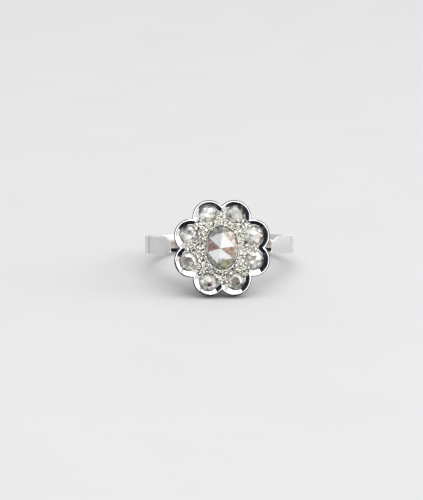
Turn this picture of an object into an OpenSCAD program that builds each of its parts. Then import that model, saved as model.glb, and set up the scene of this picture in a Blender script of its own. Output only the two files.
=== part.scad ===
// Rose-cut cluster ring with an eight-petal head, in millimetres.
// The ring is drawn upright about the finger hole: +Z out through the head, +Y along the finger.
// It is then laid on its side, where two petals and the back of the band touch the surface.

/* [Finger hole and band] */
// Diameter of the finger hole
finger_d = 17.3; // [15:0.1:21]
// Thickness of the band
band_t = 1.35; // [1:0.05:2]
// Width of the band at the back of the finger
band_w_back = 1.95; // [1.4:0.05:3]
// Width of the band where its shoulders end at the head
band_w_top = 2.5; // [1.8:0.05:3.5]

/* [Shoulders] */
// Height of the crease where each shoulder's flat face begins, above the middle of the finger hole
crease_up = 3.3; // [1:0.1:5]
// Height of the shoulder's rounded end over the band
shoulder_step = 1.1; // [0.4:0.05:2]
// Distance from the head's axis to the shoulder's rounded end
shoulder_end_x = 6.6; // [6.2:0.05:7.5]
// Radius of the shoulder's rounded end
shoulder_end_r = 1.32; // [1:0.01:2]
// Width of the neck that runs on from the shoulder to the gallery
neck_w = 1.55; // [1.2:0.05:2]
// Width of the slot that splits the neck
slot_w = 0.5; // [0.3:0.05:0.8]
// How far the slot cuts into the shoulder's rounded end
slot_bite = 0.25; // [0.1:0.05:0.5]

/* [Head] */
// Height of the rim's top over the finger
head_rise = 4.5; // [3.8:0.05:6]
// Height of the scalloped wall
rim_h = 1.75; // [1.4:0.05:2.2]
// Distance from the head's axis to the middle of each petal's arc
petal_ring_r = 4.26; // [4:0.02:4.6]
// Radius of each petal's arc at the rim
petal_r = 2.15; // [2:0.05:2.5]
// Width of the rim's polished top edge
rim_edge = 0.22; // [0.1:0.02:0.35]
// Width of the polished slope inside the rim
rim_slope = 0.4; // [0.2:0.02:0.6]
// Depth of the stone plate under the rim's top
recess = 0.6; // [0.3:0.05:0.8]

/* [Gallery] */
// Radius of the gallery's cone where it meets the scalloped wall
gallery_top_r = 5.22; // [4.6:0.02:5.3]
// Radius of the gallery's cone at the finger
gallery_foot_r = 4.2; // [3.4:0.05:4.8]
// Thickness of the gallery's wall
gallery_t = 0.5; // [0.4:0.05:0.8]
// Gap between the gallery's foot and the finger
gallery_lift = 0.15; // [0.05:0.05:0.5]

/* [Petal stones] */
// Diameter of each petal stone
stone_d = 2.3; // [1.8:0.05:2.5]
// Height of a petal stone's facetted dome
stone_dome_h = 0.72; // [0.4:0.02:1]
// Height of a petal stone's girdle
stone_girdle_h = 0.12; // [0.06:0.02:0.3]
// Depth of a petal stone's seat in the plate
stone_seat = 0.35; // [0.2:0.05:0.5]
// Diameter of the light hole behind each petal stone
light_hole_d = 1; // [0.6:0.05:1.1]
// Distance from the head's axis to each light hole
light_hole_out = 4.2; // [4:0.02:4.4]

/* [Centre stone] */
// Width of the oval centre stone, across the finger
centre_w = 4.2; // [3.4:0.05:4.6]
// Length of the oval centre stone, along the finger
centre_l = 5.8; // [5:0.05:6.2]
// Height of the centre stone's facetted dome
centre_dome_h = 1.45; // [0.8:0.05:2]
// Height of the centre stone's girdle
centre_girdle_h = 0.2; // [0.1:0.02:0.4]
// Depth of the centre stone's seat in the plate
centre_seat = 0.15; // [0.05:0.05:0.4]
// Thickness of the collet round the centre stone
collet_t = 0.18; // [0.12:0.01:0.35]
// Height of the collet over the plate
collet_h = 0.5; // [0.35:0.05:0.8]

/* [Grains and gaps] */
// Diameter of the grains raised round the stones
grain_d = 0.5; // [0.35:0.01:0.6]
// How far a grain's middle stands over the plate
grain_lift = 0.08; // [0:0.01:0.15]
// Distance between neighbouring grains, from middle to middle
grain_pitch = 0.56; // [0.4:0.01:0.8]
// Turn of the rows of grains about the head's axis, in degrees
grain_turn = 11; // [0:1:60]
// Gap between each stone and the metal
stone_gap = 0.02; // [0.01:0.005:0.05]

/* [Hidden] */
$fn = 96;
over = 1; // how far a cutting tool runs past what it cuts

// One row for each petal, counted from the right, as seen from in front of the head.
// Columns: turn about the head's axis in degrees, the stone's reach as a share of petal_ring_r,
// the stone's diameter as a share of stone_d, and the stone's own turn in degrees.
petals = [
    [21, 1.03, 1.06, 8],
    [68, 1.09, 0.98, 40],
    [112, 1.13, 0.97, 22],
    [158, 1.08, 1.00, 4],
    [202, 1.08, 1.03, 31],
    [248, 1.11, 1.00, 14],
    [292, 1.09, 0.96, 50],
    [339, 1.05, 1.04, 26]
];
function turn(petal) = petal[0];
function reach(petal) = petal[1] * petal_ring_r;
function petal_stone_r(petal) = petal[2] * stone_d / 2;
function own_turn(petal) = petal[3];

// One row for each corner of the centre stone's six-sided star, cut by hand and a little uneven.
// Columns: turn about the stone's middle in degrees, reach as a share of the outline's at that turn.
centre_corners = [[13, 0.71], [89, 0.71], [139, 0.92], [194, 0.87], [253, 0.70], [320, 0.71]];
// One row for each corner of a petal stone's star, in the same columns.
petal_corners = [for (i = [0:5]) [60 * i, 0.56]];
star_height_share = 0.66; // height of the star's corners, as a share of the dome's height
apex_shift_share = 0.055; // how far the centre stone's apex stands off its middle, as a share of its width
collet_lean = 0.96;       // size of the collet's top edge, as a share of its foot
opening_share = 0.72;     // size of the opening behind the centre stone, as a share of the stone
core_share = 0.3;         // how far the head's core reaches into each petal, as a share of petal_r

finger_r = finger_d / 2;
band_r = finger_r + band_t;
rim_top = finger_r + head_rise;
wall_foot = rim_top - rim_h;
plate_top = rim_top - recess;
core_r = petal_ring_r + petal_r * core_share; // disc that fills the middle of the petals, inside every notch
recess_r = core_r - rim_edge;                 // middle of the sunk stone plate
dish_r = petal_r - rim_edge - rim_slope;      // sunk part of each petal
gallery_low = 0.8 * finger_r;  // foot of the gallery's cone, inside the room that is cut for the finger
gap_low = 0.35 * finger_r;     // foot of the gap between the shoulders, inside the same room
centre_x = centre_w / 2;
centre_y = centre_l / 2;
centre_base = plate_top - centre_seat;
grain_r = grain_d / 2;

// Lowest point of the petals' feet as the ring lies on its side, and the lean that lets them
// and the back of the band touch one flat surface together.
head_low = petal_r + petal_ring_r * max([for (petal = petals) -sin(turn(petal))]);
lean = atan2(head_low - band_w_back / 2, wall_foot + band_r);

// Turns the upright ring about the middle of its finger hole, onto its side and back by the lean.
module laid_down() {
    rotate([90 - lean, 0, 0]) children();
}

// An upright cone with an oval foot, for the centre stone's collet and pocket.
module oval_cone(height, half_w, half_l, top_share = 1) {
    scale([half_w, half_l, 1])
        cylinder(h = height, r1 = 1, r2 = top_share);
}

// Side profile of the band and both shoulders, in the plane across the finger. Each flat shoulder
// face follows one straight line through the crease and the top of the shoulder's end.
module band_profile() {
    crease_x = sqrt(band_r * band_r - crease_up * crease_up);
    end_r = band_r + shoulder_step;
    end_up = sqrt(end_r * end_r - shoulder_end_x * shoulder_end_x);
    lean_in = (crease_x - shoulder_end_x) / (end_up - crease_up);
    below = -band_r - over;
    foot_x = crease_x + lean_in * (crease_up - below);
    intersection() {
        union() {
            circle(r = band_r);
            translate([-crease_x, 0])
                square([2 * crease_x, rim_top]);
        }
        polygon([[-foot_x, below], [foot_x, below], [shoulder_end_x, end_up], [-shoulder_end_x, end_up]]);
    }
}

// What is cut away between the two shoulders, as seen from in front of the head. The shoulders keep
// rounded ends, and a neck is left between them, which is split by a slot next to each shoulder.
module band_gap_plan() {
    round_x = shoulder_end_x + shoulder_end_r;
    slot_end_x = shoulder_end_x + slot_bite;
    difference() {
        square([2 * round_x, 2 * band_w_top], center = true);
        difference() {
            union() {
                square([2 * shoulder_end_x + shoulder_end_r, neck_w], center = true);
                for (side = [-1, 1])
                    translate([side * round_x, 0])
                        circle(r = shoulder_end_r);
            }
            for (side = [-1, 1])
                translate([side * (gallery_foot_r + slot_end_x) / 2, 0])
                    square([slot_end_x - gallery_foot_r, slot_w], center = true);
        }
    }
}

// The band's width, from under the back of the finger up to past the shoulders' ends.
module band_taper() {
    back_w = band_w_back / 2;
    top_w = band_w_top / 2;
    below = -band_r - over;
    polygon([
        [-back_w, below], [back_w, below],
        [top_w, band_r], [top_w, rim_top],
        [-top_w, rim_top], [-top_w, band_r]
    ]);
}

// The whole band, still solid where the finger goes.
module band_blank() {
    difference() {
        intersection() {
            rotate([90, 0, 0])
                linear_extrude(height = band_w_top + over, center = true)
                    band_profile();
            rotate([90, 0, 90])
                linear_extrude(height = 2 * (band_r + over), center = true)
                    band_taper();
        }
        translate([0, 0, gap_low])
            linear_extrude(height = rim_top)
                band_gap_plan();
    }
}

// Room for the finger, through band and gallery alike.
module finger_room(clear = 0) {
    rotate([90, 0, 0])
        cylinder(h = 2 * band_r, r = finger_r + clear, center = true);
}

// The tapered cup that joins the head to the band, standing clear of the finger.
module gallery_blank() {
    difference() {
        translate([0, 0, gallery_low])
            cylinder(h = wall_foot - gallery_low, r1 = gallery_foot_r, r2 = gallery_top_r);
        finger_room(gallery_lift);
    }
}

// The open inside of the gallery, up to the underside of the stone plate.
module gallery_hollow() {
    slope = (gallery_top_r - gallery_foot_r) / (wall_foot - gallery_low);
    translate([0, 0, gallery_low - over])
        cylinder(
            h = wall_foot - gallery_low + over,
            r1 = gallery_foot_r - gallery_t - slope * over,
            r2 = gallery_top_r - gallery_t
        );
}

// The head: eight petals round a solid core, with the stone plate sunk inside the rim.
module head_blank() {
    past = rim_edge / 2;
    dish_top_r = petal_r - rim_edge + rim_slope / recess * past;
    difference() {
        translate([0, 0, wall_foot])
            linear_extrude(height = rim_h) {
                for (petal = petals)
                    rotate([0, 0, turn(petal)])
                        translate([petal_ring_r, 0])
                            circle(r = petal_r);
                circle(r = core_r);
            }
        translate([0, 0, plate_top])
            cylinder(h = recess + over, r = recess_r);
        for (petal = petals)
            rotate([0, 0, turn(petal)])
                translate([petal_ring_r, 0, plate_top])
                    cylinder(h = recess + past, r1 = dish_r, r2 = dish_top_r);
    }
}

// The wall that holds the centre stone, leaning in over its edge.
module collet() {
    translate([0, 0, plate_top - centre_seat])
        oval_cone(
            collet_h + centre_seat,
            centre_x + stone_gap + collet_t,
            centre_y + stone_gap + collet_t,
            collet_lean
        );
}

// Room for the centre stone, and the opening behind it.
module centre_pocket() {
    lip = centre_base + centre_girdle_h + stone_gap;
    translate([0, 0, centre_base])
        oval_cone(lip - centre_base + stone_gap, centre_x + stone_gap, centre_y + stone_gap);
    translate([0, 0, lip])
        oval_cone(centre_dome_h, centre_x + stone_gap, centre_y + stone_gap, collet_lean);
    translate([0, 0, wall_foot - over])
        oval_cone(centre_base - wall_foot + 2 * over, centre_x * opening_share, centre_y * opening_share);
}

// Room for one petal stone, and the light hole behind it.
module petal_pocket(petal) {
    rotate([0, 0, turn(petal)]) {
        translate([reach(petal), 0, plate_top - stone_seat])
            cylinder(h = stone_seat + recess + over, r = petal_stone_r(petal) + stone_gap);
        translate([light_hole_out, 0, wall_foot - over])
            cylinder(h = rim_h - recess - stone_seat + over + stone_gap, r = light_hole_d / 2);
    }
}

// Places of the grains: every place of a three-way grid that is clear of the stones, collet and rim.
function polar(r, angle) = [r * cos(angle), r * sin(angle)];
function turned(place, angle) = [
    place[0] * cos(angle) - place[1] * sin(angle),
    place[0] * sin(angle) + place[1] * cos(angle)
];
function clear_of_stones(place) = min([
    for (petal = petals)
        norm(place - polar(reach(petal), turn(petal))) - petal_stone_r(petal)
]) > grain_r + 2 * stone_gap;
function clear_of_collet(place) = norm([
    place[0] / (centre_x + collet_t + grain_r + 3 * stone_gap),
    place[1] / (centre_y + collet_t + grain_r + 3 * stone_gap)
]) > 1;
function clear_of_rim(place) = norm(place) < recess_r - grain_r - stone_gap;
grain_rows = ceil(recess_r / grain_pitch / cos(30));
grid_places = [
    for (row = [-grain_rows:grain_rows], column = [-grain_rows:grain_rows])
        turned([(column + abs(row % 2) / 2) * grain_pitch, row * grain_pitch * cos(30)], grain_turn)
];
grain_places = [
    for (place = grid_places)
        if (clear_of_stones(place) && clear_of_collet(place) && clear_of_rim(place)) place
];

// The grains, raised from the plate.
module grains() {
    for (place = grain_places)
        translate([place[0], place[1], plate_top + grain_lift])
            sphere(r = grain_r);
}

// Band and gallery, open for the finger and up to the head.
module lower_metal() {
    difference() {
        union() {
            band_blank();
            gallery_blank();
        }
        gallery_hollow();
        finger_room();
    }
}

// Head, collet and grains, with a pocket for every stone.
module upper_metal() {
    difference() {
        union() {
            head_blank();
            collet();
            grains();
        }
        centre_pocket();
        for (petal = petals)
            petal_pocket(petal);
    }
}

// All the metal of the ring, soldered into one piece.
module ring_setting() {
    color([0.80, 0.80, 0.79])
        laid_down() {
            lower_metal();
            upper_metal();
        }
}

// A rose-cut stone: flat base, upright girdle and a dome of 24 facets that rise to a point.
// Six star facets meet at the apex, and eighteen more run down from the star to the girdle.
module rose_cut(half_w, half_l, girdle_h, dome_h, corners, apex_x = 0) {
    star_up = girdle_h + star_height_share * dome_h;
    function outline_r(angle) = half_w * half_l
        / sqrt(pow(half_l * cos(angle), 2) + pow(half_w * sin(angle), 2));
    function between(i) = (corners[i][0] + corners[(i + 1) % 6][0] + (i == 5 ? 360 : 0)) / 2;
    function girdle_turn(j) = j % 2 == 0 ? corners[j / 2][0] : between((j - 1) / 2);
    function rim_point(j, up) = concat(polar(outline_r(girdle_turn(j)), girdle_turn(j)), [up]);
    // Points 0 to 11 lie on the base, 12 to 23 on the girdle's top, 24 to 29 are the star, 30 is the apex.
    points = concat(
        [for (j = [0:11]) rim_point(j, 0)],
        [for (j = [0:11]) rim_point(j, girdle_h)],
        [for (c = corners) concat(polar(outline_r(c[0]) * c[1], c[0]), [star_up])],
        [[apex_x, 0, girdle_h + dome_h]]
    );
    faces = concat(
        [[for (j = [0:11]) j]],
        [for (j = [0:11]) [j, 12 + j, 12 + (j + 1) % 12, (j + 1) % 12]],
        [for (i = [0:5]) [24 + i, 30, 24 + (i + 1) % 6]],
        [for (i = [0:5]) [24 + i, 24 + (i + 1) % 6, 13 + 2 * i]],
        [for (i = [0:5]) [24 + i, 13 + 2 * i, 12 + 2 * i]],
        [for (i = [0:5]) [24 + i, 12 + 2 * i, 12 + (2 * i + 11) % 12]]
    );
    polyhedron(points = points, faces = faces);
}

// The oval stone in the middle of the head.
module centre_stone() {
    color([0.86, 0.88, 0.88]) laid_down()
        translate([0, 0, centre_base + stone_gap])
            rose_cut(
                centre_x, centre_y, centre_girdle_h, centre_dome_h,
                centre_corners, -apex_shift_share * centre_w
            );
}

// One of the eight round stones, counted from 1.
module petal_stone(number) {
    petal = petals[number - 1];
    r = petal_stone_r(petal);
    color([0.84, 0.85, 0.82]) laid_down()
        rotate([0, 0, turn(petal)])
            translate([reach(petal), 0, plate_top - stone_seat + stone_gap])
                rotate([0, 0, own_turn(petal)])
                    rose_cut(r, r, stone_girdle_h, stone_dome_h, petal_corners);
}

ring_setting();
centre_stone();
petal_stone(1);  // petal_stone_1
petal_stone(2);  // petal_stone_2
petal_stone(3);  // petal_stone_3
petal_stone(4);  // petal_stone_4
petal_stone(5);  // petal_stone_5
petal_stone(6);  // petal_stone_6
petal_stone(7);  // petal_stone_7
petal_stone(8);  // petal_stone_8
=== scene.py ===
import math
import random

import bmesh
import bpy
from mathutils import Euler, Matrix, Vector


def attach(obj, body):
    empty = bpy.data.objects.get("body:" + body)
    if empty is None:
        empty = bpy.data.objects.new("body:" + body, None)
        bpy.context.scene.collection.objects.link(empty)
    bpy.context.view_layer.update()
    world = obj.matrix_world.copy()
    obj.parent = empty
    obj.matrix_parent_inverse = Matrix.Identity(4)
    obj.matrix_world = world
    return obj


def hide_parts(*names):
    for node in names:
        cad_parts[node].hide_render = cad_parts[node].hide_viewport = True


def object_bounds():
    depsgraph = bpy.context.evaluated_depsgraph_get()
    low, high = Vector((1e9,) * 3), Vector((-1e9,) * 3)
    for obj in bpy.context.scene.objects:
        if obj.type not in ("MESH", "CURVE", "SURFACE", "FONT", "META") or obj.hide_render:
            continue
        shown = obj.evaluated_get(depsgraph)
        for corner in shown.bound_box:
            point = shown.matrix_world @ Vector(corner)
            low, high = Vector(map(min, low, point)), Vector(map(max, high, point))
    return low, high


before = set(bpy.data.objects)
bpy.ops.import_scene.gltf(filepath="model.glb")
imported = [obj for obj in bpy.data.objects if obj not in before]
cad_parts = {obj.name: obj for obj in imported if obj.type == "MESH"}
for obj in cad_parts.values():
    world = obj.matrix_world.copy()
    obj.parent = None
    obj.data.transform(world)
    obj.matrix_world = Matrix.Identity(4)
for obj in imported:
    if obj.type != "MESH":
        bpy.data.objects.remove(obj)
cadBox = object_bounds()
print("frame loaded,", len(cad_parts), "CAD nodes")

# The pieces are modelled upright in millimetres: z out through the head, y along the finger hole.
# layDown then turns each one onto its side and brings it to metres, as the CAD model lies.
ring = {
    "holeR": 8.65,
    "bandR": 10.0,
    "rimTop": 13.15,
    "plateTop": 12.55,
    "lean": 13.46741,  # how far the head leans back where the ring lies
    "petalOut": 4.26,
    "petalR": 2.15,
    "petalStoneR": 1.15,
    "onWall": 0.004,  # a face whose middle is this near to a wall is part of it
}
# each petal's turn about the head, then the reach, size and own turn of its stone,
# and the painted reflection shades of the six facets of the stone's star, by their letters in
# petalStone
petals = (
    {"turn": 21, "reach": 1.03, "size": 1.06, "spin": 8, "star": "lwgggp"},
    {"turn": 68, "reach": 1.09, "size": 0.98, "spin": 40, "star": "lpmgll"},
    {"turn": 112, "reach": 1.13, "size": 0.97, "spin": 22, "star": "wwwlwl"},
    {"turn": 158, "reach": 1.08, "size": 1.00, "spin": 4, "star": "wlwgdg"},
    {"turn": 202, "reach": 1.08, "size": 1.03, "spin": 31, "star": "gdbddb"},
    {"turn": 248, "reach": 1.11, "size": 1.00, "spin": 14, "star": "ddgggg"},
    {"turn": 292, "reach": 1.09, "size": 0.96, "spin": 50, "star": "bdbbgb"},
    {"turn": 339, "reach": 1.05, "size": 1.04, "spin": 26, "star": "gmgwwg"},
)


def polar(reach, degrees, height=0.0):
    a = math.radians(degrees)
    return Vector((reach * math.cos(a), reach * math.sin(a), height))


def petalStonePlace(petal):
    return polar(petal["reach"] * ring["petalOut"], petal["turn"])


def petalStoneR(petal):
    return petal["size"] * ring["petalStoneR"]


# modelling helpers
def pickNothing():
    if bpy.context.object and bpy.context.object.mode != "OBJECT":
        bpy.ops.object.mode_set(mode="OBJECT")
    bpy.ops.object.select_all(action="DESELECT")


def startPiece(name, addPrimitive, **sizes):
    pickNothing()
    addPrimitive(**sizes)
    piece = bpy.context.object
    piece.name = name
    piece.data.name = name
    return piece


def makeActive(piece):
    pickNothing()
    piece.select_set(True)
    bpy.context.view_layer.objects.active = piece


def edit(piece, kind="VERT"):
    makeActive(piece)
    bpy.ops.object.mode_set(mode="EDIT")
    bpy.ops.mesh.select_mode(type=kind)


def editAll(piece, kind="VERT"):
    edit(piece, kind)
    bpy.ops.mesh.select_all(action="SELECT")


def leaveEdit():
    bpy.ops.object.mode_set(mode="OBJECT")


def selectFaces(piece, test):
    bm = bmesh.from_edit_mesh(piece.data)
    for f in bm.faces:
        f.select_set(False)
    for f in bm.faces:
        if test(f):
            f.select_set(True)
    bmesh.update_edit_mesh(piece.data)


def placeSelected(piece, place):
    # moves each selected vertex to its own place on the piece
    bm = bmesh.from_edit_mesh(piece.data)
    for v in bm.verts:
        if v.select:
            v.co = place(v)
    bmesh.update_edit_mesh(piece.data)


def applyModifier(piece, kind, **settings):
    makeActive(piece)
    m = piece.modifiers.new(kind.title(), kind)
    for key, value in settings.items():
        setattr(m, key, value)
    bpy.ops.object.modifier_apply(modifier=m.name)


def cutWith(piece, cutter):
    applyModifier(piece, "BOOLEAN", operation="DIFFERENCE", object=cutter, solver="EXACT")
    bpy.data.objects.remove(cutter)


def applyPlace(piece):
    makeActive(piece)
    bpy.ops.object.transform_apply(location=True, rotation=True, scale=True)


def boxCutter(name, place, scale, rotation=(0, 0, 0), size=1):
    cutter = startPiece(
        name, bpy.ops.mesh.primitive_cube_add, size=size, location=place, rotation=rotation
    )
    cutter.scale = scale
    applyPlace(cutter)
    return cutter


def cylinderCutter(place, radius, low, high, sides=40, squash=1.0):
    cutter = startPiece(
        "cutter", bpy.ops.mesh.primitive_cylinder_add, vertices=sides, radius=radius,
        depth=high - low, location=(place.x, place.y, (low + high) / 2),
    )
    cutter.scale = (1, squash, 1)
    applyPlace(cutter)
    return cutter


def joinPieces(pieces, name):
    pickNothing()
    for p in pieces:
        p.select_set(True)
    bpy.context.view_layer.objects.active = pieces[0]
    bpy.ops.object.join()
    joined = bpy.context.object
    joined.name = name
    joined.data.name = name
    return joined


def outwardNormals(piece):
    editAll(piece)
    bpy.ops.mesh.remove_doubles(threshold=0.0002)
    bpy.ops.mesh.normals_make_consistent(inside=False)
    leaveEdit()


def layDown(piece):
    makeActive(piece)
    piece.rotation_euler = (math.radians(90 - ring["lean"]), 0, 0)
    piece.scale = (0.001, 0.001, 0.001)
    bpy.ops.object.transform_apply(location=True, rotation=True, scale=True)


def fromUpright(point):
    # a place on the upright ring in millimetres, as it lies in metres
    return Matrix.Rotation(math.radians(90 - ring["lean"]), 4, "X") @ Vector(point) * 0.001


def toUpright(point):
    return Matrix.Rotation(math.radians(ring["lean"] - 90), 4, "X") @ Vector(point) * 1000


def finishPiece(piece, material, nodes, smoothAngle=32):
    layDown(piece)
    bpy.ops.object.shade_smooth_by_angle(angle=math.radians(smoothAngle))
    piece.data.materials.clear()
    piece.data.materials.append(material)
    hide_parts(*nodes)
    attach(piece, "root")


def eachFace(piece):
    # the piece's faces, with each one's place and direction on the upright ring
    for face in piece.data.polygons:
        yield face, toUpright(face.center), toUpright(face.normal).normalized()


def paintFaces(piece, finishes, choose):
    # choose names one of these finishes for a face, or none to leave it as it is
    for finish in finishes:
        piece.data.materials.append(finish)
    for face, place, normal in eachFace(piece):
        finish = choose(place, normal)
        if finish:
            face.material_index = 1 + finishes.index(finish)


# finishes
metal = {
    "smearScale": 900,
    "hairScale": 2600,
    "hairStretch": (1, 9, 1),
    "hairTurn": (0.3, 0.5, 0.4),
}


def newMaterial(name):
    m = bpy.data.materials.new(name)
    m.use_nodes = True
    tree = m.node_tree
    return m, tree, tree.nodes["Principled BSDF"]


def objectNoise(tree, scale, stretch=(1, 1, 1), detail=3.0, turn=(0, 0, 0)):
    coord = tree.nodes.new("ShaderNodeTexCoord")
    place = tree.nodes.new("ShaderNodeMapping")
    place.inputs["Scale"].default_value = stretch
    place.inputs["Rotation"].default_value = turn
    noise = tree.nodes.new("ShaderNodeTexNoise")
    noise.inputs["Scale"].default_value = scale
    noise.inputs["Detail"].default_value = detail
    tree.links.new(coord.outputs["Object"], place.inputs["Vector"])
    tree.links.new(place.outputs["Vector"], noise.inputs["Vector"])
    return noise.outputs["Fac"]


def spread(tree, source, low, high, fromLow=0.3, fromHigh=0.7):
    r = tree.nodes.new("ShaderNodeMapRange")
    r.inputs["From Min"].default_value = fromLow
    r.inputs["From Max"].default_value = fromHigh
    r.inputs["To Min"].default_value = low
    r.inputs["To Max"].default_value = high
    tree.links.new(source, r.inputs["Value"])
    return r.outputs["Result"]


def mixShades(tree, factor, first, second, blend="MIX"):
    # a shade is a colour, or what another node gives
    mix = tree.nodes.new("ShaderNodeMix")
    mix.data_type = "RGBA"
    mix.blend_type = blend
    tree.links.new(factor, mix.inputs["Factor"])
    for side, shade in (("A", first), ("B", second)):
        if isinstance(shade, tuple):
            mix.inputs[side].default_value = (*shade, 1)
        else:
            tree.links.new(shade, mix.inputs[side])
    return mix.outputs["Result"]


def addBump(tree, shader, source, distance, under=None, strength=None):
    bump = tree.nodes.new("ShaderNodeBump")
    bump.inputs["Distance"].default_value = distance
    tree.links.new(source, bump.inputs["Height"])
    if under is not None:
        tree.links.new(under, bump.inputs["Normal"])
    if strength is not None:
        tree.links.new(strength, bump.inputs["Strength"])
    tree.links.new(bump.outputs["Normal"], shader.inputs["Normal"])
    return bump.outputs["Normal"]


def whiteGoldFinish(name, look):
    m, tree, shader = newMaterial(name)
    shader.inputs["Metallic"].default_value = 1.0
    cloud = spread(tree, objectNoise(tree, look["cloud"], detail=4), 0, 1)
    shade = mixShades(tree, cloud, look["dark"], look["light"])
    if "pits" in look:
        # painted shade: dark specks where the cuts and the gaps between grains lie in shadow
        pit = spread(tree, objectNoise(tree, look["pits"], detail=2), 0, 1, *look["pitRange"])
        shade = mixShades(tree, pit, shade, look["paintedPitShade"])
    tree.links.new(shade, shader.inputs["Base Color"])
    smear = objectNoise(tree, metal["smearScale"], detail=5)
    tree.links.new(spread(tree, smear, *look["rough"]), shader.inputs["Roughness"])
    waves = objectNoise(tree, look["waveScale"], detail=1)
    first = addBump(tree, shader, waves, look["wave"])
    hair = objectNoise(
        tree, metal["hairScale"], stretch=metal["hairStretch"], detail=4, turn=metal["hairTurn"]
    )
    addBump(tree, shader, hair, look["scratch"], under=first)
    return m


polished = whiteGoldFinish("polishedWhiteGold", {
    "cloud": 420, "dark": (0.84, 0.84, 0.85), "light": (0.92, 0.92, 0.92),
    "rough": (0.02, 0.06), "wave": 0.000017, "waveScale": 900, "scratch": 0.0000015,
})
# painted reflection: a near-black line round the rim's outside, for its dark reflection
paintedDarkRimLine = whiteGoldFinish("paintedDarkRimLineWhiteGold", {
    "cloud": 900, "dark": (0.03, 0.03, 0.035), "light": (0.10, 0.10, 0.105),
    "rough": (0.10, 0.20), "wave": 0.000004, "waveScale": 650, "scratch": 0.000002,
})
worn = whiteGoldFinish("wornWhiteGold", {
    "cloud": 1300, "dark": (0.715, 0.715, 0.70), "light": (0.755, 0.755, 0.74),
    "rough": (0.32, 0.40), "wave": 0.000001, "waveScale": 900, "scratch": 0.0000022,
})
# chased plate, darkened with painted shade where it shows between the grains
chasedAndShaded = whiteGoldFinish("chasedAndShadedWhiteGold", {
    "cloud": 1500, "dark": (0.42, 0.42, 0.38), "light": (0.88, 0.87, 0.80),
    "rough": (0.14, 0.30), "wave": 0.00010, "waveScale": 3400, "scratch": 0.00001,
    "pits": 3200, "pitRange": (0.57, 0.61), "paintedPitShade": (0.01, 0.01, 0.01),
})
# grains' metal, with painted shade specks in its pits
grainGold = whiteGoldFinish("grainWhiteGold", {
    "cloud": 2300, "dark": (0.68, 0.67, 0.61), "light": (0.98, 0.97, 0.91),
    "rough": (0.03, 0.12), "wave": 0.00009, "waveScale": 4200, "scratch": 0.000004,
    "pits": 4700, "pitRange": (0.60, 0.66), "paintedPitShade": (0.05, 0.05, 0.045),
})
# painted tan reflection and shade, for the necks and the shoulders' end walls
paintedTanShade = whiteGoldFinish("paintedTanShadeWhiteGold", {
    "cloud": 1300, "dark": (0.28, 0.24, 0.21), "light": (0.48, 0.43, 0.39),
    "rough": (0.22, 0.34), "wave": 0.000006, "waveScale": 1200, "scratch": 0.000004,
})
# painted shade for the line along the shoulder's crease
paintedCreaseShade = whiteGoldFinish("paintedCreaseShadeWhiteGold", {
    "cloud": 1300, "dark": (0.36, 0.37, 0.33), "light": (0.56, 0.57, 0.52),
    "rough": (0.30, 0.42), "wave": 0.000004, "waveScale": 1200, "scratch": 0.000004,
})
# painted shadow: near-black metal for the slots, the pockets' walls and outside the collet's foot
paintedShadow = whiteGoldFinish("paintedShadowWhiteGold", {
    "cloud": 900, "dark": (0.03, 0.03, 0.03), "light": (0.07, 0.07, 0.07),
    "rough": (0.45, 0.60), "wave": 0.00001, "waveScale": 900, "scratch": 0.000004,
})

diamond = {
    "bends": 2.42,
    # painted flashes: how bright each cell of a broken-up painted reflection is, from the cells' colour
    "paintedFlashes": (0.45, 1.35),
    "flashFrom": (0.25, 0.75),
    "cloudScale": 1900,
    "cloudMost": 0.12,
    "cloudTone": (0.60, 0.62, 0.57),
    "speckScale": 2600,
    "speckRough": 0.012,
    "speckFrom": (0.5, 0.75),
    "rippleShare": 0.8,  # scale of the ripples, as a share of the cells' scale
}


def diamondFinish(name, clear, cellScale, ripple):
    # every facet carries its own painted reflection colour; where its alpha is 1 it is broken up into
    # painted flashes
    m, tree, shader = newMaterial(name)
    shader.inputs["Transmission Weight"].default_value = clear
    shader.inputs["IOR"].default_value = diamond["bends"]
    tint = tree.nodes.new("ShaderNodeAttribute")
    tint.attribute_name = "paintedFacetReflection"
    broken = tint.outputs["Alpha"]
    coord = tree.nodes.new("ShaderNodeTexCoord")
    cells = tree.nodes.new("ShaderNodeTexVoronoi")
    cells.inputs["Scale"].default_value = cellScale
    tree.links.new(coord.outputs["Object"], cells.inputs["Vector"])
    paintedFlashes = spread(tree, cells.outputs["Color"], *diamond["paintedFlashes"], *diamond["flashFrom"])
    shade = mixShades(tree, broken, tint.outputs["Color"], paintedFlashes, "MULTIPLY")
    clouds = spread(tree, objectNoise(tree, diamond["cloudScale"], detail=4), 0, diamond["cloudMost"])
    shade = mixShades(tree, clouds, shade, diamond["cloudTone"])
    tree.links.new(shade, shader.inputs["Base Color"])
    specks = objectNoise(tree, diamond["speckScale"], detail=6)
    specks = spread(tree, specks, 0.0, diamond["speckRough"], *diamond["speckFrom"])
    tree.links.new(specks, shader.inputs["Roughness"])
    ripples = objectNoise(tree, cellScale * diamond["rippleShare"], detail=2)
    addBump(tree, shader, ripples, ripple, strength=broken)
    return m


def paintFacetReflections(piece, chooseTint):
    tints = piece.data.attributes.new("paintedFacetReflection", "FLOAT_COLOR", "CORNER")
    for face, place, normal in eachFace(piece):
        tint = chooseTint(place, normal)
        for corner in face.loop_indices:
            tints.data[corner].color = tint


centreDiamond = diamondFinish("centreDiamond", 0.5, 2300, 0.0003)
petalDiamond = diamondFinish("petalDiamond", 0.15, 2400, 0.00006)

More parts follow.
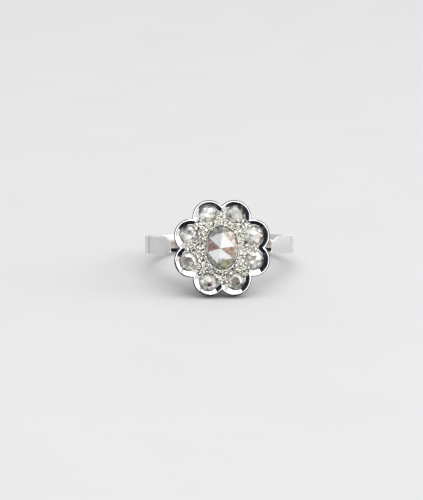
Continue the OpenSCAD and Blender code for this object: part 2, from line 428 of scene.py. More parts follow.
# scalloped head
head = {
    "perPetal": 44,
    # how far in from the outline, and how high: foot, wall, rim, polished slope
    "section": (
        (0.05, 11.40),
        (0.00, 11.45),
        (0.00, 12.20),
        (0.00, 12.95),
        (0.02, 13.05),
        (0.06, 13.115),
        (0.11, 13.147),
        (0.125, 13.15),
        (0.16, 13.15),
        (0.21, 13.15),
        (0.23, 13.14),
        (0.245, 13.12),
        (0.38, 13.025),
        (0.52, 12.925),
        (0.65, 12.83),
        (0.79, 12.72),
        (0.81, 12.69),
        (0.82, 12.56),
    ),
    "sameLevel": 0.0005,
    "innerDisc": 4.685,
    "discFrom": 0.25,  # from this far in, no part of the loop is nearer to the middle than the disc
    "cutTop": 14,
    "pocketDeep": 0.35,
    "pocketGap": 0.04,
    "lightHoleR": 0.5,
    "lightHoleOut": 4.2,
    "lightHole": (11, 12.5),
    "lightHoleSides": 28,
    # half width, half length, foot, top and sides of the centre stone's seat and of the hole under it
    "seat": (2.12, 2.92, 12.4, 14, 72),
    "underHole": (1.512, 2.088, 11, 13, 60),
    # heights between which the plate and the pockets are chased and darkened with painted shade
    "plate": (11.8, 12.7),
    "plateInset": 0.2,
    "pocket": (12.1, 13.0),
    "wallFacing": 0.3,
    # the painted dark line outside the rim, a painted reflection of dark surroundings, broader where
    # the turn is nearer to the broadest place
    "lineFrom": 12.95,
    "broadTurn": 232,
    "lineWidths": ((0.78, 0.19), (0.45, 0.15), (-2, 0.11)),
}


def outlineReach(degrees, petalR, disc):
    best = disc
    for petal in petals:
        away = math.radians(degrees - petal["turn"])
        inside = petalR ** 2 - (ring["petalOut"] * math.sin(away)) ** 2
        if inside >= 0 and math.cos(away) > 0:
            best = max(best, ring["petalOut"] * math.cos(away) + math.sqrt(inside))
    return best


def outlineDirections(perPetal):
    # each petal from notch to notch, with a point in every notch itself
    notches = []
    for i, petal in enumerate(petals):
        after = petals[(i + 1) % len(petals)]["turn"]
        if after < petal["turn"]:
            after += 360
        notches.append((petal["turn"] + after) / 2)
    directions = []
    for i, notch in enumerate(notches):
        after = notches[(i + 1) % len(notches)]
        if after < notch:
            after += 360
        for k in range(perPetal):
            directions.append(notch + (after - notch) * k / perPetal)
    return directions


def onLevel(face, height):
    return abs(face.calc_center_median().z - height) < head["sameLevel"]


def buildHead():
    directions = outlineDirections(head["perPetal"])
    count = len(directions)
    section = head["section"]

    def onOutline(degrees, inset, height):
        disc = head["innerDisc"] if inset > head["discFrom"] else 0.0
        return polar(outlineReach(degrees, ring["petalR"] - inset, disc), degrees, height)

    piece = startPiece(
        "scallopedHead", bpy.ops.mesh.primitive_circle_add, vertices=count, radius=5,
        fill_type="NGON", location=(0, 0, section[0][1]),
    )
    applyPlace(piece)
    editAll(piece)
    placeSelected(piece, lambda v: onOutline(directions[v.index], *section[0]))
    bpy.ops.mesh.select_mode(type="FACE")
    for (_, under), (inset, height) in zip(section, section[1:]):
        # the loop on top is drawn out again, and every vertex keeps its direction
        selectFaces(piece, lambda f: len(f.verts) == count and onLevel(f, under))
        bpy.ops.mesh.extrude_region_move()

        def place(v):
            turn = math.degrees(math.atan2(v.co.y, v.co.x))
            near = min(directions, key=lambda d: abs((d - turn + 180) % 360 - 180))
            return onOutline(near, inset, height)

        placeSelected(piece, place)
    leaveEdit()
    outwardNormals(piece)
    return piece


def cutHead(piece):
    cutters = []
    pocketFloor = ring["plateTop"] - head["pocketDeep"]
    for petal in petals:
        pocketR = petalStoneR(petal) + head["pocketGap"]
        cutters.append(cylinderCutter(petalStonePlace(petal), pocketR, pocketFloor, head["cutTop"]))
    for petal in petals:
        hole = polar(head["lightHoleOut"], petal["turn"])
        cutters.append(
            cylinderCutter(hole, head["lightHoleR"], *head["lightHole"], head["lightHoleSides"])
        )
    for halfW, halfL, foot, top, sides in (head["seat"], head["underHole"]):
        cutters.append(cylinderCutter(Vector((0, 0, 0)), halfW, foot, top, sides, halfL / halfW))
    for cutter in cutters:
        cutWith(piece, cutter)


def paintedDarkLineWidth(turn):
    toBroadest = math.cos(math.radians(turn - head["broadTurn"]))
    return next(width for least, width in head["lineWidths"] if toBroadest > least)


def inPocket(place):
    if not head["pocket"][0] < place.z < head["pocket"][1]:
        return False
    flat = Vector((place.x, place.y, 0))
    wallOut = head["pocketGap"] + ring["onWall"]
    return any((flat - petalStonePlace(p)).length < petalStoneR(p) + wallOut for p in petals)


def headFinish(place, normal):
    # the plate and the pockets are chased and darkened with painted shade, with painted shadow on the
    # pockets' walls and a painted dark line outside the rim
    turn = math.degrees(math.atan2(place.y, place.x))
    inset = outlineReach(turn, ring["petalR"], 0.0) - math.hypot(place.x, place.y)
    if inPocket(place):
        return paintedShadow if abs(normal.z) < head["wallFacing"] else chasedAndShaded
    if head["plate"][0] < place.z < head["plate"][1] and inset > head["plateInset"]:
        return chasedAndShaded
    if place.z > head["lineFrom"] and inset < paintedDarkLineWidth(turn):
        return paintedDarkRimLine
    return None


headPiece = buildHead()
cutHead(headPiece)
finishPiece(headPiece, polished, ["ring_setting"])
paintFaces(headPiece, (chasedAndShaded, paintedDarkRimLine, paintedShadow), headFinish)
print("scalloped head made,", len(headPiece.data.polygons), "faces")

# collet round the centre stone
collet = {
    # half width, half length, height: up the outside, over the edge, down the inside
    "section": (
        (2.30, 3.10, 12.45),
        (2.285, 3.08, 12.75),
        (2.255, 3.04, 12.98),
        (2.22, 3.00, 13.04),
        (2.17, 2.94, 13.05),
        (2.115, 2.88, 13.02),
        (2.095, 2.86, 12.95),
        (2.125, 2.925, 12.70),
        (2.125, 2.925, 12.45),
    ),
    "sides": 96,
    # below what height, and from where on the lower half, the painted shadow lies outside the foot
    "shadowTop": 12.99,
    "shadowFrom": -1.2,
}


def ovalShell(name, section, sides):
    piece = startPiece(
        name, bpy.ops.mesh.primitive_circle_add, vertices=sides, radius=1,
        fill_type="NOTHING", location=(0, 0, section[0][2]),
    )
    applyPlace(piece)
    editAll(piece, "EDGE")
    bpy.ops.transform.resize(value=(section[0][0], section[0][1], 1), center_override=(0, 0, 0))
    for before, now in zip(section, section[1:]):
        bpy.ops.mesh.extrude_region_move()
        bpy.ops.transform.resize(
            value=(now[0] / before[0], now[1] / before[1], 1), center_override=(0, 0, 0)
        )
        bpy.ops.transform.translate(value=(0, 0, now[2] - before[2]))
    leaveEdit()
    # the first and the last loop meet under the plate
    edit(piece, "EDGE")
    bm = bmesh.from_edit_mesh(piece.data)
    for e in bm.edges:
        e.select_set(len(e.link_faces) == 1)
    bmesh.update_edit_mesh(piece.data)
    bpy.ops.mesh.bridge_edge_loops()
    leaveEdit()
    outwardNormals(piece)
    return piece


def colletFinish(place, normal):
    # painted shadow outside its foot, on the lower half as the ring lies
    outside = normal.dot(Vector((place.x, place.y, 0))) > 0
    low = place.z < collet["shadowTop"] and place.y < collet["shadowFrom"]
    return paintedShadow if outside and low else None


colletPiece = ovalShell("centreCollet", collet["section"], collet["sides"])
finishPiece(colletPiece, grainGold, ["ring_setting"])
paintFaces(colletPiece, (paintedShadow,), colletFinish)
print("collet made")

# gallery under the head
gallery = {
    "footR": 4.2,
    "topR": 5.22,
    "foot": 6.92,
    "top": 11.44,
    "wall": 0.5,
    "lift": 0.15,
    "sides": 112,
    "holeSides": 160,
    "holeLong": 24,
    "endFacing": 0.9,
}


def buildGallery():
    tall = gallery["top"] - gallery["foot"]
    piece = startPiece(
        "gallery", bpy.ops.mesh.primitive_cone_add, vertices=gallery["sides"],
        radius1=gallery["footR"], radius2=gallery["topR"], depth=tall,
        location=(0, 0, gallery["foot"] + tall / 2),
    )
    applyPlace(piece)
    edit(piece, "FACE")
    selectFaces(piece, lambda f: abs(f.normal.z) > gallery["endFacing"])
    bpy.ops.mesh.inset(thickness=gallery["wall"])
    bpy.ops.mesh.bridge_edge_loops()
    leaveEdit()
    outwardNormals(piece)
    hole = startPiece(
        "hole", bpy.ops.mesh.primitive_cylinder_add, vertices=gallery["holeSides"],
        radius=ring["holeR"] + gallery["lift"], depth=gallery["holeLong"],
        rotation=(math.pi / 2, 0, 0),
    )
    applyPlace(hole)
    cutWith(piece, hole)
    return piece


galleryPiece = buildGallery()
finishPiece(galleryPiece, worn, ["ring_setting"])
print("gallery made,", len(galleryPiece.data.polygons), "faces")

# band, shoulders and split necks
band = {
    "halfWidthMid": 1.119,
    "widening": 0.2214,
    "sweepSteps": 66,
    "shoulderSteps": 14,
    "neckSteps": 8,
    "creaseTurn": 19.27,
    "endX": 6.6,
    "endZ": 8.925,
    "endR": 1.32,
    "endSides": 28,
    "neckHalf": 0.775,
    "neckTo": 6.85,
    "neckFrom": 3.9,
    "neckRoot": 2,
    "neckInside": 0.6,
    # the block between the shoulders that is cut away: the height of its middle, its width and height
    "gap": (10.5, 6, 14),
    "gapCutTall": 20,
    "onMiddle": 0.001,
    "merge": 0.002,
    "bevel": 0.07,
    "bevelAngle": 28,
    "smoothAngle": 25,
    "creaseOut": 0.03,
    "creaseSize": 0.18,
    "creaseStretch": 40,  # makes the line's cutter longer than the band is wide
    "slotHalf": 0.23,
    "slotFrom": 3,
    "slotTo": 6.5,
    "slotShift": -0.42,
    "slotFloor": 7.9,
    "slotCutTall": 4,
    # heights between which the slot's walls are painted as shadow
    "slotDark": (7.8, 8.90),
    # the faces of the line painted with crease shade: how near to its middle as a share of its size,
    # and how far sunk
    "creaseNear": 0.7,
    "creaseSunk": 0.02,
    # the way the flat of the right shoulder faces, across and out
    "flatFacing": (0.893, 0.451),
    # how much an edge's direction may differ from that where it is rounded and bright
    "roundFacing": (0.35, 0.97),
    "frontFacing": -0.2,
    # how far a face may look back towards the head to count as an edge, and away from it as an end wall
    "edgeBack": -0.3,
    "endWallAway": 0.05,
    "neckSpare": 0.01,
    # from where to where outwards, and above what height, they lie
    "edges": (6.4, 9.3, 3.4),
    "endWalls": (6.4, 7.95, 5),
    "necks": (3.5, 6.65, 7.8),
}
crease = polar(ring["bandR"], band["creaseTurn"])


def onHole(x):
    # the point of the finger hole's wall over x
    return Vector((x, 0, math.sqrt(ring["holeR"] ** 2 - x * x)))


def drawOut(piece, outer, inner):
    # the end face is drawn out, its outer edge to one place and its inner edge to another
    bpy.ops.mesh.extrude_region_move()
    between = (ring["holeR"] + ring["bandR"]) / 2

    def place(v):
        to = outer if math.hypot(v.co.x, v.co.z) > between else inner
        return Vector((to.x, v.co.y, to.z))

    placeSelected(piece, place)


def buildBandHalf():
    thick = ring["bandR"] - ring["holeR"]
    piece = startPiece(
        "band", bpy.ops.mesh.primitive_plane_add, size=1, rotation=(0, math.pi / 2, 0),
        location=(0, 0, -(ring["holeR"] + thick / 2)),
    )
    piece.scale = (thick, 2 * band["halfWidthMid"], 1)
    applyPlace(piece)
    editAll(piece, "FACE")
    bpy.ops.mesh.spin(
        steps=band["sweepSteps"], angle=math.radians(90 + band["creaseTurn"]),
        center=(0, 0, 0), axis=(0, 1, 0),
    )
    endTurn = math.degrees(math.acos(band["endX"] / ring["holeR"]))
    for k in range(1, band["shoulderSteps"] + 1):
        share = k / band["shoulderSteps"]
        outer = Vector((
            crease.x + (band["endX"] - crease.x) * share, 0,
            crease.y + (band["endZ"] - crease.y) * share,
        ))
        inner = polar(ring["holeR"], band["creaseTurn"] + (endTurn - band["creaseTurn"]) * share)
        drawOut(piece, outer, Vector((inner.x, 0, inner.y)))
    for k in range(1, band["neckSteps"] + 1):
        x = band["endX"] + (band["neckFrom"] - band["endX"]) * k / band["neckSteps"]
        drawOut(piece, Vector((x, 0, band["endZ"])), onHole(x))
    leaveEdit()
    # the mirror joins the halves at the back of the finger hole
    edit(piece, "FACE")
    selectFaces(piece, lambda f: abs(f.calc_center_median().x) < band["onMiddle"])
    bpy.ops.mesh.delete(type="ONLY_FACE")
    leaveEdit()
    applyModifier(
        piece, "SIMPLE_DEFORM", deform_method="TAPER", deform_axis="Z",
        factor=band["widening"], lock_x=True,
    )
    outwardNormals(piece)
    return piece


def buildGapCutter():
    # what is cut away between the shoulders, seen from in front of the head
    roundX = band["endX"] + band["endR"]
    cutTall = band["gapCutTall"]
    middle, wide, tall = band["gap"]
    cutter = boxCutter("gapCutter", (0, 0, middle), (roundX * 2, wide, tall))
    for side in (1, -1):
        end = Vector((side * roundX, 0, 0))
        cutWith(cutter, cylinderCutter(end, band["endR"], 0, cutTall, band["endSides"]))
        # the neck stays, from the head to a little inside the shoulder's round end
        neckMiddle = (side * (band["neckTo"] + band["neckRoot"]) / 2, 0, middle)
        neckLong = band["neckTo"] - band["neckRoot"] + band["neckInside"]
        cutWith(cutter, boxCutter("neck", neckMiddle, (neckLong, band["neckHalf"] * 2, cutTall)))
    return cutter


def cutLineAndSlot(piece, side):
    # the line across the shoulder where it turns into the band, and the slot between its necks
    lineOut = polar(ring["bandR"] + band["creaseOut"], band["creaseTurn"])
    cornerTurn = 45 + band["creaseTurn"]  # the line is cut by the corner of a square
    cutWith(piece, boxCutter(
        "line", (side * lineOut.x, 0, lineOut.y), (1, band["creaseStretch"], 1),
        (0, math.radians(-side * cornerTurn), 0), band["creaseSize"],
    ))
    slotMiddle = side * (band["slotTo"] + band["slotFrom"]) / 2
    slotTall = band["slotCutTall"]
    cutWith(piece, boxCutter(
        "slot", (slotMiddle, band["slotShift"], band["slotFloor"] + slotTall / 2),
        (band["slotTo"] - band["slotFrom"], band["slotHalf"] * 2, slotTall),
    ))


def bandFinish(place, normal):
    # painted shadow inside the slots, painted crease shade in the lines, painted tan reflection and
    # shade on the necks and the end walls, bright on rounded edges
    out = abs(place.x)
    outward = normal.x * place.x
    facing = 0
    if outward > band["edgeBack"]:
        facing = abs(normal.x) * band["flatFacing"][0] + normal.z * band["flatFacing"][1]
    inSlot = abs(place.y - band["slotShift"]) < band["slotHalf"] + ring["onWall"]
    least, most = band["slotDark"]
    if inSlot and band["slotFrom"] < out < band["slotTo"] + ring["onWall"] and least < place.z < most:
        return paintedShadow
    fromCrease = math.hypot(out - crease.x, place.z - crease.y)
    sunk = math.hypot(out, place.z) < ring["bandR"] - band["creaseSunk"]
    if sunk and fromCrease < band["creaseSize"] * band["creaseNear"]:
        return paintedCreaseShade
    least, most, height = band["edges"]
    if least < out < most and place.z > height:
        if band["roundFacing"][0] < facing < band["roundFacing"][1]:
            return polished
    least, most, height = band["endWalls"]
    if least < out < most and place.z > height and normal.z > band["frontFacing"]:
        if facing < band["roundFacing"][0] and outward < band["endWallAway"]:
            return paintedTanShade
    least, most, height = band["necks"]
    if least < out < most and place.z > height and normal.z > band["frontFacing"]:
        if abs(place.y) < band["neckHalf"] + band["neckSpare"]:
            return paintedTanShade
    return None


bandPiece = buildBandHalf()
applyModifier(
    bandPiece, "MIRROR", use_axis=(True, False, False), use_clip=True,
    merge_threshold=band["merge"],
)
outwardNormals(bandPiece)
print("band swept,", len(bandPiece.data.polygons), "faces")
cutWith(bandPiece, buildGapCutter())
outwardNormals(bandPiece)
applyModifier(
    bandPiece, "BEVEL", width=band["bevel"], segments=2, limit_method="ANGLE",
    angle_limit=math.radians(band["bevelAngle"]), use_clamp_overlap=False,
)
for side in (1, -1):
    cutLineAndSlot(bandPiece, side)
finishPiece(bandPiece, worn, ["ring_setting"], band["smoothAngle"])
paintFaces(bandPiece, (paintedShadow, paintedTanShade, polished, paintedCreaseShade), bandFinish)
print("band made,", len(bandPiece.data.polygons), "faces")

# grains
grains = {
    "seed": 7,
    "smallest": 0.12,
    "largest": 0.30,
    "tries": 9000,
    "shrink": 0.6,  # under 1 the sizes fall quickly at first and slowly later
    "lift": 0.08,
    "apart": 0.92,
    "from": 2.2,
    "fromRim": 0.06,
    "pastRim": 0.1,  # how far past that limit a place may be tried
    "underRim": 0.5,  # share of a grain by which its middle keeps inside that limit
    "keepOff": 0.30,  # share of a grain by which its middle keeps off a stone or the collet
    "collet": (2.24, 3.04),
    "cutBelow": -0.35,
    "squash": ((0.72, 1.30), (0.72, 1.20), (0.85, 1.35)),
    "tip": ((-0.5, 0.5), (-0.5, 0.5), (0, 6.28)),
    "smoothAngle": 24,
}


def grainFits(spot, r, placed):
    clear = r * grains["keepOff"]
    halfW, halfL = grains["collet"]
    if math.hypot(spot.x / (halfW + clear), spot.y / (halfL + clear)) < 1:
        return False
    if any((spot - petalStonePlace(p)).length < petalStoneR(p) + clear for p in petals):
        return False
    return not any((spot - q).length < (r + s) * grains["apart"] for q, s in placed)


def grainPlaces():
    # bigger grains are placed first, then smaller ones fill what is left
    chance = random.Random(grains["seed"])
    placed = []
    reachMost = head["innerDisc"] - grains["fromRim"]
    for n in range(grains["tries"]):
        share = n / grains["tries"]
        r = grains["largest"] + (grains["smallest"] - grains["largest"]) * share ** grains["shrink"]
        width = reachMost - grains["from"] + grains["pastRim"]
        reach = grains["from"] + width * math.sqrt(chance.random())
        spot = polar(reach, chance.uniform(0, 360))
        if reach <= reachMost - r * grains["underRim"] and grainFits(spot, r, placed):
            placed.append((spot, r))
    return placed


def buildGrains():
    chance = random.Random(grains["seed"] + 1)
    seedGrain = startPiece(
        "grain", bpy.ops.mesh.primitive_ico_sphere_add, subdivisions=2, radius=1
    )
    # the hidden lower half is cut off and closed
    editAll(seedGrain)
    bpy.ops.mesh.bisect(
        plane_co=(0, 0, grains["cutBelow"]), plane_no=(0, 0, -1), use_fill=True, clear_outer=True
    )
    leaveEdit()
    copies = []
    for spot, r in grainPlaces():
        copy = seedGrain.copy()
        copy.data = seedGrain.data.copy()
        bpy.context.scene.collection.objects.link(copy)
        squash = Vector([chance.uniform(*span) for span in grains["squash"]])
        tip = Euler([chance.uniform(*span) for span in grains["tip"]])
        place = Vector((spot.x, spot.y, ring["plateTop"] + grains["lift"]))
        copy.data.transform(Matrix.LocRotScale(place, tip, squash * r))
        copies.append(copy)
    bpy.data.objects.remove(seedGrain)
    return joinPieces(copies, "grains"), len(copies)


grainPiece, grainCount = buildGrains()
finishPiece(grainPiece, grainGold, ["ring_setting"], grains["smoothAngle"])
print("grains made,", grainCount)

# stones
centreStone = {
    "halfW": 2.1,
    "halfL": 2.9,
    "base": 12.42,
    "girdle": 0.45,
    "dome": 1.20,
    "apex": (-0.231, 0.0),
    # corners of the star, from the stone's middle
    "star": ((1.66, 0.24), (0.05, 1.98), (-1.73, 1.39), (-1.84, -0.50), (-0.61, -1.91), (1.27, -1.22)),
    "starHeight": 0.59,
    "starFacing": 0.90,
    "starFrom": 0.5,
    "sides": 72,
    "edge": 0.02,
    # painted reflection colour of the facet after each corner, and last how far it is broken up into
    # painted flashes
    "starReflectionPaints": (
        (0.36, 0.36, 0.35, 0), (0.33, 0.35, 0.37, 0.12), (0.22, 0.046, 0.024, 0.6),
        (0.42, 0.45, 0.46, 0.12), (0.66, 0.67, 0.66, 0.03), (0.24, 0.085, 0.042, 0.12),
    ),
    # painted reflection colour of the crown every 30 degrees from the right
    "crownReflectionPaints": (
        (0.96, 0.82, 0.70), (1.00, 0.82, 0.66), (0.30, 0.28, 0.22), (0.05, 0.06, 0.04),
        (0.08, 0.08, 0.07), (0.85, 0.87, 0.83), (1.00, 1.00, 0.97), (0.92, 0.94, 0.86),
        (0.52, 0.54, 0.44), (0.70, 0.73, 0.46), (0.86, 0.87, 0.79), (0.97, 0.96, 0.88),
    ),
}
petalStone = {
    "base": 12.22,
    "girdle": 0.26,
    "dome": 0.58,
    "starReach": 0.56,
    "starHeight": 0.66,
    "starFacing": 0.75,
    "starFrom": 0.01,  # over the height of the star's corners
    "starSides": 6,
    "sides": 48,
    "edge": 0.014,
    # painted reflection colours of the facets, by letter
    "shades": {
        "h": (1.00, 1.00, 0.95),  # highlight
        "w": (0.78, 0.80, 0.75),  # white
        "l": (0.56, 0.58, 0.53),  # light
        "g": (0.33, 0.35, 0.30),  # grey
        "p": (0.54, 0.46, 0.41),  # pink
        "m": (0.25, 0.15, 0.125),  # mauve
        "b": (0.16, 0.11, 0.08),  # brown
        "d": (0.035, 0.03, 0.024),  # dark
    },
    "crown": "hhwhhwhghpwl",
    "crownSeed": 11,
}
cut = {
    "spare": 0.2,  # how far the rough stands over the finished stone
    "cornerShare": 0.05,  # the facets under a corner of the star meet the girdle this far from it
    "edgeAngle": 9,
    "smoothAngle": 1,
}


def cutFacet(a, b, c):
    # takes off everything outside the plane through three points, and closes the cut
    normal = (b - a).cross(c - a).normalized()
    if normal.z < 0:
        normal.negate()
    bpy.ops.mesh.select_all(action="SELECT")
    bpy.ops.mesh.bisect(
        plane_co=a, plane_no=normal, use_fill=True, clear_outer=True, threshold=0.00005
    )


def cutStone(name, shape, middle, halfW, halfL, apex, star):
    shoulder = shape["base"] + shape["girdle"]
    tall = shape["girdle"] + shape["dome"] + cut["spare"]
    rough = startPiece(
        name, bpy.ops.mesh.primitive_cylinder_add, vertices=shape["sides"], radius=1,
        depth=tall, location=(0, 0, shape["base"] + tall / 2),
    )
    rough.scale = (halfW, halfL, 1)
    applyPlace(rough)
    tip = Vector((*apex, shoulder + shape["dome"]))
    starTop = shoulder + shape["dome"] * shape["starHeight"]
    corners = [Vector((x, y, starTop)) for x, y in star]
    edit(rough)
    count = len(corners)
    for i, corner in enumerate(corners):
        cutFacet(tip, corner, corners[(i + 1) % count])

    def onGirdle(degrees):
        a = math.radians(degrees)
        return Vector((halfW * math.cos(a), halfL * math.sin(a), shoulder))

    turns = [math.degrees(math.atan2(c.y / halfL, c.x / halfW)) for c in corners]
    for i, corner in enumerate(corners):
        after = corners[(i + 1) % count]
        step = (turns[(i + 1) % count] - turns[i]) % 360
        between = onGirdle(turns[i] + step / 2)
        # one facet under each edge of the star, and two under each corner
        cutFacet(corner, after, between)
        cutFacet(corner, between, onGirdle(turns[i] + step * cut["cornerShare"]))
        cutFacet(after, between, onGirdle(turns[i] + step * (1 - cut["cornerShare"])))
    leaveEdit()
    outwardNormals(rough)
    # the worn edges between the facets
    applyModifier(
        rough, "BEVEL", width=shape["edge"], segments=1, limit_method="ANGLE",
        angle_limit=math.radians(cut["edgeAngle"]),
    )
    rough.data.transform(Matrix.Translation(middle))
    return rough


def centreReflectionPaint(place, normal):
    star = centreStone["star"]
    apexX, apexY = centreStone["apex"]
    if normal.z > centreStone["starFacing"] and place.z > centreStone["base"] + centreStone["starFrom"]:
        turn = math.atan2(place.y - apexY, place.x - apexX)
        for n, corner in enumerate(star):
            after = star[(n + 1) % len(star)]
            start = math.atan2(corner[1] - apexY, corner[0] - apexX)
            span = (math.atan2(after[1] - apexY, after[0] - apexX) - start) % (2 * math.pi)
            if (turn - start) % (2 * math.pi) < span:
                return centreStone["starReflectionPaints"][n]
    turn = math.degrees(math.atan2(place.y / centreStone["halfL"], place.x / centreStone["halfW"]))
    tints = centreStone["crownReflectionPaints"]
    return (*tints[int(turn % 360 / (360 / len(tints)))], 1.0)


def petalReflectionPaintOf(petal, chance):
    # the star's facets have the petal's own painted reflection shades, and the crown's are mixed
    starTop = petalStone["base"] + petalStone["girdle"] + petalStone["dome"] * petalStone["starHeight"]
    shades = petalStone["shades"]
    facetTurn = 360 / petalStone["starSides"]

    def petalReflectionPaint(place, normal):
        if normal.z > petalStone["starFacing"] and place.z > starTop + petalStone["starFrom"]:
            away = place - petalStonePlace(petal)
            turn = math.degrees(math.atan2(away.y, away.x)) - petal["spin"] - petal["turn"]
            return (*shades[petal["star"][int(turn % 360 / facetTurn)]], 0.0)
        return (*shades[chance.choice(petalStone["crown"])], 1.0)

    return petalReflectionPaint


stone = cutStone(
    "centreStone", centreStone, Vector((0, 0, 0)), centreStone["halfW"], centreStone["halfL"],
    centreStone["apex"], centreStone["star"],
)
finishPiece(stone, centreDiamond, ["centre_stone"], cut["smoothAngle"])
paintFacetReflections(stone, centreReflectionPaint)
print("centre stone cut,", len(stone.data.polygons), "facets")

crownChance = random.Random(petalStone["crownSeed"])
for number, petal in enumerate(petals, 1):
    r = petalStoneR(petal)
    star = []
    for k in range(petalStone["starSides"]):
        turn = petal["spin"] + petal["turn"] + 360 / petalStone["starSides"] * k
        corner = polar(petalStone["starReach"] * r, turn)
        star.append((corner.x, corner.y))
    stone = cutStone(f"petalStone{number}", petalStone, petalStonePlace(petal), r, r, (0, 0), star)
    finishPiece(stone, petalDiamond, [f"petal_stone_{number}"], cut["smoothAngle"])
    paintFacetReflections(stone, petalReflectionPaintOf(petal, crownChance))
print("petal stones cut")

# camera
camera = {
    "azimuth": -1.3,
    "elevation": 16.1,
    "distance": 0.220,
    "pixelsPerMetre": 7850.0,
    "headAt": (222.0, 248.0),
    "frame": (423, 500),
    "sensor": 36,
}


def direction(azimuth, elevation):
    # from the object, with azimuth 0 towards the camera's side and turning to the right
    a, e = math.radians(azimuth), math.radians(elevation)
    return Vector((math.sin(a) * math.cos(e), -math.cos(a) * math.cos(e), math.sin(e)))


def placeCamera():
    back = direction(camera["azimuth"], camera["elevation"])
    turn = (-back).to_track_quat("-Z", "Y")
    right, up = turn @ Vector((1, 0, 0)), turn @ Vector((0, 1, 0))
    wide, high = camera["frame"]
    toRight = (wide / 2 - camera["headAt"][0]) / camera["pixelsPerMetre"]
    toUp = (camera["headAt"][1] - high / 2) / camera["pixelsPerMetre"]
    aim = fromUpright((0, 0, ring["rimTop"])) + right * toRight + up * toUp
    pickNothing()
    bpy.ops.object.camera_add(location=aim + back * camera["distance"], rotation=turn.to_euler())
    cam = bpy.context.object
    cam.data.sensor_width = camera["sensor"]
    pixelsWide = camera["distance"] * camera["pixelsPerMetre"]
    cam.data.lens = camera["sensor"] * pixelsWide / max(wide, high)
    cam.data.clip_start = 0.01
    cam.data.clip_end = 20
    bpy.context.scene.camera = cam


placeCamera()

# floor, lights and the papers that shiny surfaces reflect
studio = {
    "floorSize": 6,
    "floorGap": 0.00002,  # between the floor and the ring
    "floorDark": (0.685, 0.685, 0.688),
    "floorLight": (0.70, 0.70, 0.703),
    "floorGrain": (60, 5, 0.3, 0.7),  # scale and detail of its patches, and where they begin and end
    "worldTone": (0.90, 0.90, 0.91),
    "worldStrength": 0.80,
    # name, azimuth, elevation, distance, size, how bright it shows up, colour
    "lights": (
        ("overhead", 15, 80, 1.3, (1.6, 1.3), 1.15, (1, 1, 1)),
        ("rightWindow", 80, 22, 1.2, (1.0, 0.8), 1.5, (1, 1, 1)),
        ("front", 2, 12, 1.0, (0.30, 0.26), 1.6, (1, 1, 1)),
        ("starWhite", 34, 34, 1.0, (0.24, 0.24), 3.5, (1, 1, 1)),
        ("starCool", -10, 40, 1.0, (0.30, 0.24), 1.9, (0.88, 0.95, 1.0)),
        ("starSalmon", 37, 5, 0.8, (0.20, 0.20), 1.7, (1.0, 0.54, 0.40)),
        ("starBrown", -34, 11, 0.8, (0.22, 0.20), 0.5, (1.0, 0.60, 0.48)),
    ),
}
papers = {
    "pale": (0.8, 0.8, 0.8),
    "dark": (0.012, 0.013, 0.018),
    "streaks": (0.075, 0.085, 0.11),
    "blotches": (150, 4, 0.50, 0.72),
    "rough": 0.9,
    # how far each one lies above the floor, so that no two share a plane
    "cardLift": 0.00004,
    "flagLift": 0.00007,
    # a bright one in front, for the centre stone's star
    "starEdge": ((-0.027, -0.067), (0.023, -0.067), (0.023, -0.027), (-0.027, -0.027)),
    "starGlow": (1.9, (0.94, 0.97, 1.0)),
    # a bright one behind on the right, for the shoulders' upper edges
    "backEdge": ((0.10, 0.02, 0.01), (0.02, 0.14, 0.01), (0.02, 0.14, 0.16), (0.10, 0.02, 0.16)),
    "backGlow": (1.5, (1, 1, 1)),
    # a dark one round the head's foot, which runs out to the left
    "footY": -0.0128,
    "footR": 0.0145,
    "footTurns": range(-36, 61, 12),
    "footRest": (
        (0.004, 0.001), (-0.006, 0.004), (-0.10, 0.030),
        (-0.10, -0.087), (-0.03, -0.032), (-0.015, -0.0185),
    ),
    # a dark one that stands on the left: its front edge and back edge on the floor, and its top
    "leftX": -0.10,
    "leftFoot": (-0.105, -0.028),
    "leftTop": ((0.01, 0.18), (-0.105, 0.18)),
}
floorTop = cadBox[0].z - studio["floorGap"]


def mattePaper(name, tone, patches, scale, detail, fromLow, fromHigh):
    m, tree, shader = newMaterial(name)
    blotches = spread(tree, objectNoise(tree, scale, detail=detail), 0, 1, fromLow, fromHigh)
    tree.links.new(mixShades(tree, blotches, tone, patches), shader.inputs["Base Color"])
    shader.inputs["Roughness"].default_value = papers["rough"]
    shader.inputs["Specular IOR Level"].default_value = 0.0
    return m, shader


def layFloor():
    piece = startPiece(
        "floor", bpy.ops.mesh.primitive_plane_add, size=studio["floorSize"], location=(0, 0, floorTop)
    )
    applyPlace(piece)
    paper, _ = mattePaper(
        "palePaper", studio["floorDark"], studio["floorLight"], *studio["floorGrain"]
    )
    piece.data.materials.append(paper)


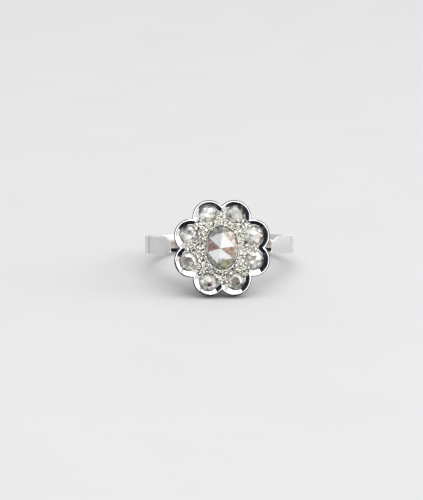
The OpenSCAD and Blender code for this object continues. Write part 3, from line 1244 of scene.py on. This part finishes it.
def lightFrom(name, azimuth, elevation, away, size, radiance, colour):
    # a light of any size shows up this bright in a mirror
    pickNothing()
    place = direction(azimuth, elevation) * away
    turn = (-place).to_track_quat("-Z", "Y").to_euler()
    bpy.ops.object.light_add(type="AREA", location=place, rotation=turn)
    light = bpy.context.object
    light.name = name
    light.data.shape = "RECTANGLE"
    light.data.size, light.data.size_y = size
    light.data.energy = radiance * math.pi * size[0] * size[1]
    light.data.color = colour
    light.visible_camera = False


def glossPaper(name, corners, tone, patches, radiance=0.0, colour=(1, 1, 1)):
    # paper which only polished metal and stones see, with patches of another tone
    card = startPiece(
        name, bpy.ops.mesh.primitive_circle_add, vertices=len(corners), radius=0.01, fill_type="NGON"
    )
    editAll(card)
    placeSelected(card, lambda v: Vector(corners[v.index]))
    leaveEdit()
    paper, shader = mattePaper(name, tone, patches, *papers["blotches"])
    shader.inputs["Emission Color"].default_value = (*colour, 1)
    shader.inputs["Emission Strength"].default_value = radiance
    card.data.materials.append(paper)
    card.visible_camera = card.visible_diffuse = card.visible_shadow = False


def onFloor(lift, places):
    return [(x, y, floorTop + lift) for x, y in places]


def footEdge():
    # round the head's foot from its left to its right, then back behind it and out to the left
    places = [polar(papers["footR"], degrees - 90).xy for degrees in papers["footTurns"]]
    places += papers["footRest"]
    return [(x, papers["footY"] + y) for x, y in places]


def leftEdge():
    places = [(y, floorTop) for y in papers["leftFoot"]]
    places += papers["leftTop"]
    return [(papers["leftX"], y, z) for y, z in places]


def hangPapers():
    pale, dark, streaks = papers["pale"], papers["dark"], papers["streaks"]
    starEdge = onFloor(papers["cardLift"], papers["starEdge"])
    glossPaper("starCard", starEdge, pale, pale, *papers["starGlow"])
    glossPaper("backCard", papers["backEdge"], pale, pale, *papers["backGlow"])
    glossPaper("footFlag", onFloor(papers["flagLift"], footEdge()), dark, streaks)
    glossPaper("leftFlag", leftEdge(), dark, streaks)


def studioWorld():
    world = bpy.data.worlds.new("studio")
    bpy.context.scene.world = world
    world.use_nodes = True
    sky = world.node_tree.nodes["Background"]
    sky.inputs["Color"].default_value = (*studio["worldTone"], 1)
    sky.inputs["Strength"].default_value = studio["worldStrength"]


layFloor()
for light in studio["lights"]:
    lightFrom(*light)
hangPapers()
studioWorld()
bpy.context.scene.view_settings.view_transform = "Standard"
print("camera, floor and lights set")
